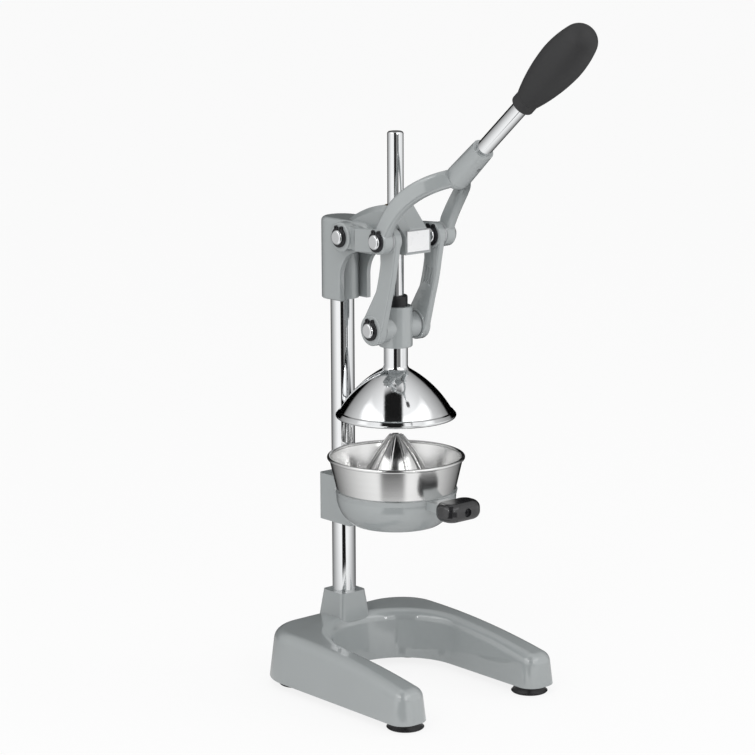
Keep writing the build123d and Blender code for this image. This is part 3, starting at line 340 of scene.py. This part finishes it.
def plate_enamel():
    """Bare white plate with a thin grey line round its edge."""
    material, nodes, fill = finish("white_plate", Coat_Roughness=0.06)
    low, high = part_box("name_plate")
    place = nodes.place()
    across, _, height = nodes.axes(place)
    middle_x = (low[0] + high[0]) / 2
    middle_z = (low[2] + high[2]) / 2
    past_side = abs(across - middle_x) - (high[0] - low[0]) / 2
    past_end = abs(height - middle_z) - (high[2] - low[2]) / 2
    border = past_side.at_least(past_end) > -PLATE_BORDER
    cloud = nodes.noise(place, scale=90.0, detail=2.0)
    fill(Base_Color=nodes.blend(border, PLATE_WHITE, PLATE_EDGE),
         Roughness=0.22 + 0.1 * cloud,
         Coat_Weight=0.3 + 0.2 * cloud)
    return material


def dress_nodes():
    """Give each CAD piece the finish of its record slot, but the zinc grip screw the black ring finish as
    painted shade.
    """
    finishes = {
        "grey_paint": grey_paint(),
        "chrome": chrome(),
        "stainless": spun_steel(),
        "zinc_steel": zinc_steel(),
        "bush_brass": bush_brass(),
        "black_ring": black_oxide(),
        "black_rubber": black_rubber(),
        "soft_grip": soft_grip(),
        "black_gloss": gloss_plastic(),
        "white_plate": plate_enamel(),
    }
    for entry in frame["record"]["subparts"]:
        piece = frame["nodes"][entry["node"]]
        for slot in piece.material_slots:
            slot.material = finishes[PAINTED_SHADE_FINISHES.get(entry["node"], entry["material_slot"])]


def studio_glow(nodes, way, dark_end):
    """Brightness of the studio in one direction, as the metal sees it."""
    flat = Vector((math.sin(CAMERA_TURN), -math.cos(CAMERA_TURN), 0.0))
    right = Vector((math.cos(CAMERA_TURN), math.sin(CAMERA_TURN), 0.0))
    front = flat * math.cos(CAMERA_RISE) + Vector((0.0, 0.0, math.sin(CAMERA_RISE)))
    panel_way = (right - flat * PANEL_LEAN).normalized()
    facing = nodes.along(way, front)
    rightward = nodes.along(way, right)
    upward = nodes.axes(way)[2]
    beside = abs(rightward - SLOT_AT)
    ahead = ((facing - FRONT_FROM) * FRONT_SHARP).limited()
    slot = ((SLOT_HALF - beside) * SLOT_SHARP).limited() * ahead
    far = ((upward - SLOT_NEAR) * SLOT_SHARP).limited()
    shade_left = ((rightward - SHADE_FROM) * SHADE_SHARP).limited()
    shade_right = ((SHADE_TO - rightward) * SHADE_SHARP).limited()
    below = ((SHADE_TOP - upward) * SHADE_TOP_SHARP).limited()
    beyond = ((upward - SHADE_NEAR) * SHADE_NEAR_SHARP).limited()
    grey = 1.0 - SHADE_DEPTH * shade_left * shade_right * below * beyond * ahead
    overhead = ((BAND_HALF - abs(upward - BAND_MIDDLE)) * BAND_SHARP).limited()
    band = overhead * (facing * BAND_FRONT_SHARP).limited()
    panel = ((nodes.along(way, panel_way) - PANEL_FROM) * PANEL_SHARP).limited()
    fade = STUDIO_LEVEL + STUDIO_LEVEL * facing + PANEL_LEVEL * panel
    lit_end = ((facing - dark_end) * END_SHARP).limited()
    lit = fade.at_most(STUDIO_PEAK) * grey + BAND_LEVEL * band
    return lit * lit_end * (1.0 - SLOT_DEPTH * slot * far)


def lay_floor():
    """A pale floor that reads white to the camera and keeps the press's shadow."""
    form = bmesh.new()
    bmesh.ops.create_grid(form, x_segments=2, y_segments=2, size=FLOOR_HALF)
    bmesh.ops.translate(form, verts=form.verts, vec=(0.0, 0.0, -FLOOR_DROP))
    mesh = bpy.data.meshes.new("floor")
    form.to_mesh(mesh)
    form.free()
    floor = bpy.data.objects.new("floor", mesh)
    bpy.context.collection.objects.link(floor)
    material, nodes, _ = finish("pale_floor", Base_Color=FLOOR_WHITE, Roughness=0.7)
    tree = material.node_tree
    seen = nodes.node("ShaderNodeLightPath", output="Is Camera Ray")
    mirrored = nodes.node("ShaderNodeLightPath", output="Is Glossy Ray")
    away = nodes.node("ShaderNodeVectorMath", {"operation": "SUBTRACT"}, {0: nodes.place(), 1: STUDIO_MIDDLE})
    way = nodes.node("ShaderNodeVectorMath", {"operation": "NORMALIZE"}, {0: away})
    strength = seen + mirrored * studio_glow(nodes, way, FLOOR_DARK_END)
    glow = nodes.node("ShaderNodeEmission", None, {"Strength": strength})
    lit = Value(nodes, tree.nodes["Principled BSDF"].outputs[0])
    surface = nodes.node("ShaderNodeMixShader", None,
                         {0: (seen * FLOOR_GLOW).at_least(mirrored), 1: lit, 2: glow})
    nodes.feed(tree.nodes["Material Output"].inputs["Surface"], surface)
    mesh.materials.append(material)


def light_world():
    """White to the camera, the studio to polished metal, and an even sky for everything else."""
    world = bpy.data.worlds.new("studio")
    world.use_nodes = True
    bpy.context.scene.world = world
    nodes = Nodes(world.node_tree)
    look = nodes.node("ShaderNodeTexCoord", output="Generated")
    seen = nodes.node("ShaderNodeLightPath", output="Is Camera Ray")
    mirrored = nodes.node("ShaderNodeLightPath", output="Is Glossy Ray")
    through = nodes.node("ShaderNodeLightPath", output="Is Transmission Ray")
    white = seen.at_least(through)
    other = (1.0 - white) * (1.0 - mirrored)
    strength = white + mirrored * studio_glow(nodes, look, SKY_DARK_END) + other * SKY_LEVEL
    nodes.feed(world.node_tree.nodes["Background"].inputs["Color"], (1.0, 1.0, 1.0))
    nodes.feed(world.node_tree.nodes["Background"].inputs["Strength"], strength)


def add_softbox(name, place, size, watts, mirrored):
    """A soft lamp that faces the middle of the press."""
    data = bpy.data.lights.new(name, "AREA")
    data.shape = "RECTANGLE"
    data.size, data.size_y = size
    data.energy = watts
    lamp = bpy.data.objects.new(name, data)
    lamp.visible_glossy = mirrored
    facing = Vector(place) - CAMERA_TARGET
    lamp.matrix_world = Matrix.Translation(place) @ facing.to_track_quat("Z", "Y").to_matrix().to_4x4()
    bpy.context.collection.objects.link(lamp)


def set_camera():
    """The camera, turned about the press and raised above the table."""
    data = bpy.data.cameras.new("camera")
    data.lens = CAMERA_LENS
    data.sensor_width = CAMERA_SENSOR
    camera = bpy.data.objects.new("camera", data)
    turn = Matrix.Rotation(CAMERA_TURN, 4, "Z")
    tip = Matrix.Rotation(math.pi / 2 - CAMERA_RISE, 4, "X")
    roll = Matrix.Rotation(CAMERA_ROLL, 4, "Z")
    aim = turn @ tip @ roll
    back = aim.to_3x3() @ Vector((0.0, 0.0, 1.0))
    camera.matrix_world = Matrix.Translation(CAMERA_TARGET + back * CAMERA_RANGE) @ aim
    bpy.context.collection.objects.link(camera)
    bpy.context.scene.camera = camera


bpy.context.scene.view_settings.view_transform = "Standard"
dress_nodes()
lay_floor()
light_world()
for softbox in SOFTBOXES:
    add_softbox(*softbox)
set_camera()
